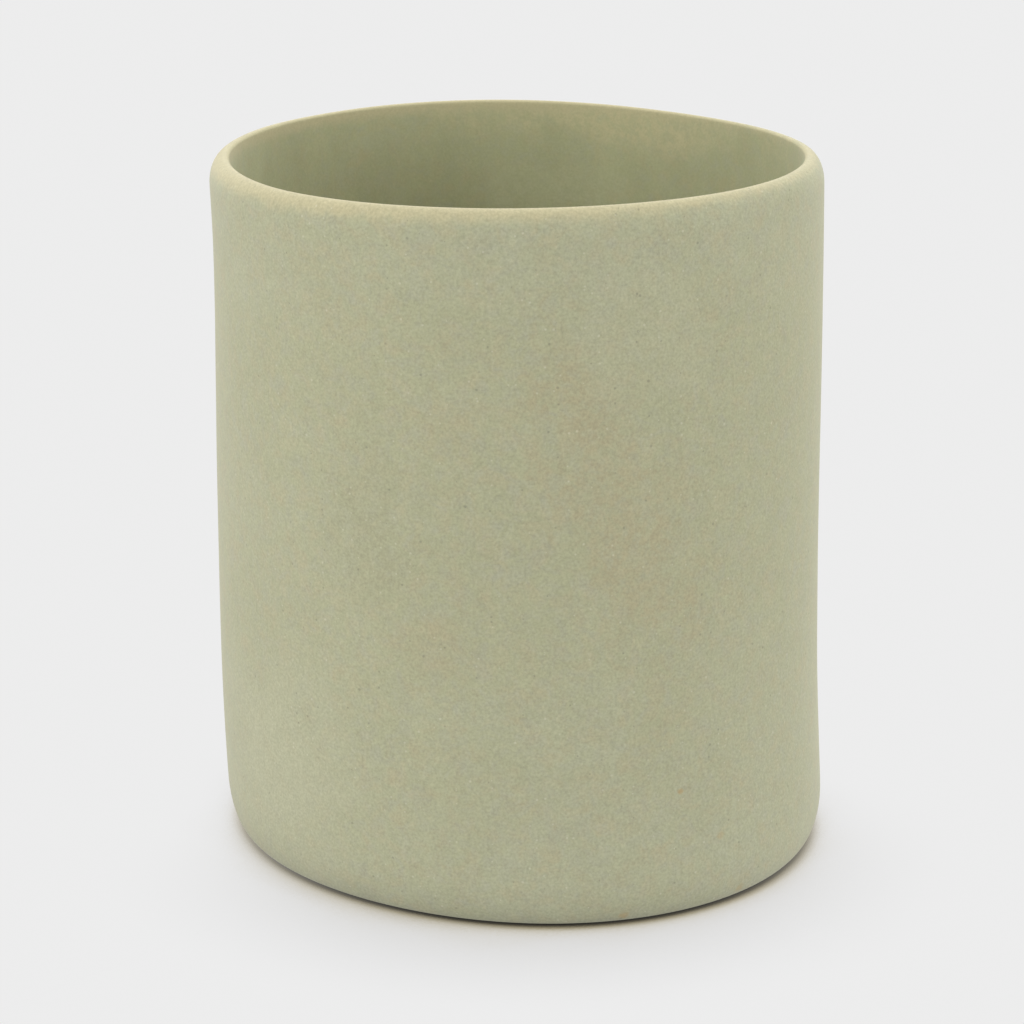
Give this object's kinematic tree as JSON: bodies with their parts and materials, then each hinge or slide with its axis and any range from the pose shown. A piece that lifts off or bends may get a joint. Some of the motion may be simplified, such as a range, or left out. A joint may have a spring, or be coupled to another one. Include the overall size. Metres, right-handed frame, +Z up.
{
  "type": "brush holder pot",
  "caption": "Upright unglazed clay pot with a thin wall, rounded lip and open mouth, which stands on a desk and holds brushes and pens.",
  "frame": {"origin": "under the middle of the pot, on the surface that it stands on", "axes": "+Z up through the mouth, -Y to the front, +X to the right seen from the front"},
  "size_m": [0.0887, 0.087, 0.1001],
  "materials": {
    "clay": "unglazed matte"
  },
  "bodies": {
    "root": {"pot": "clay"}
  },
  "joints": []
}
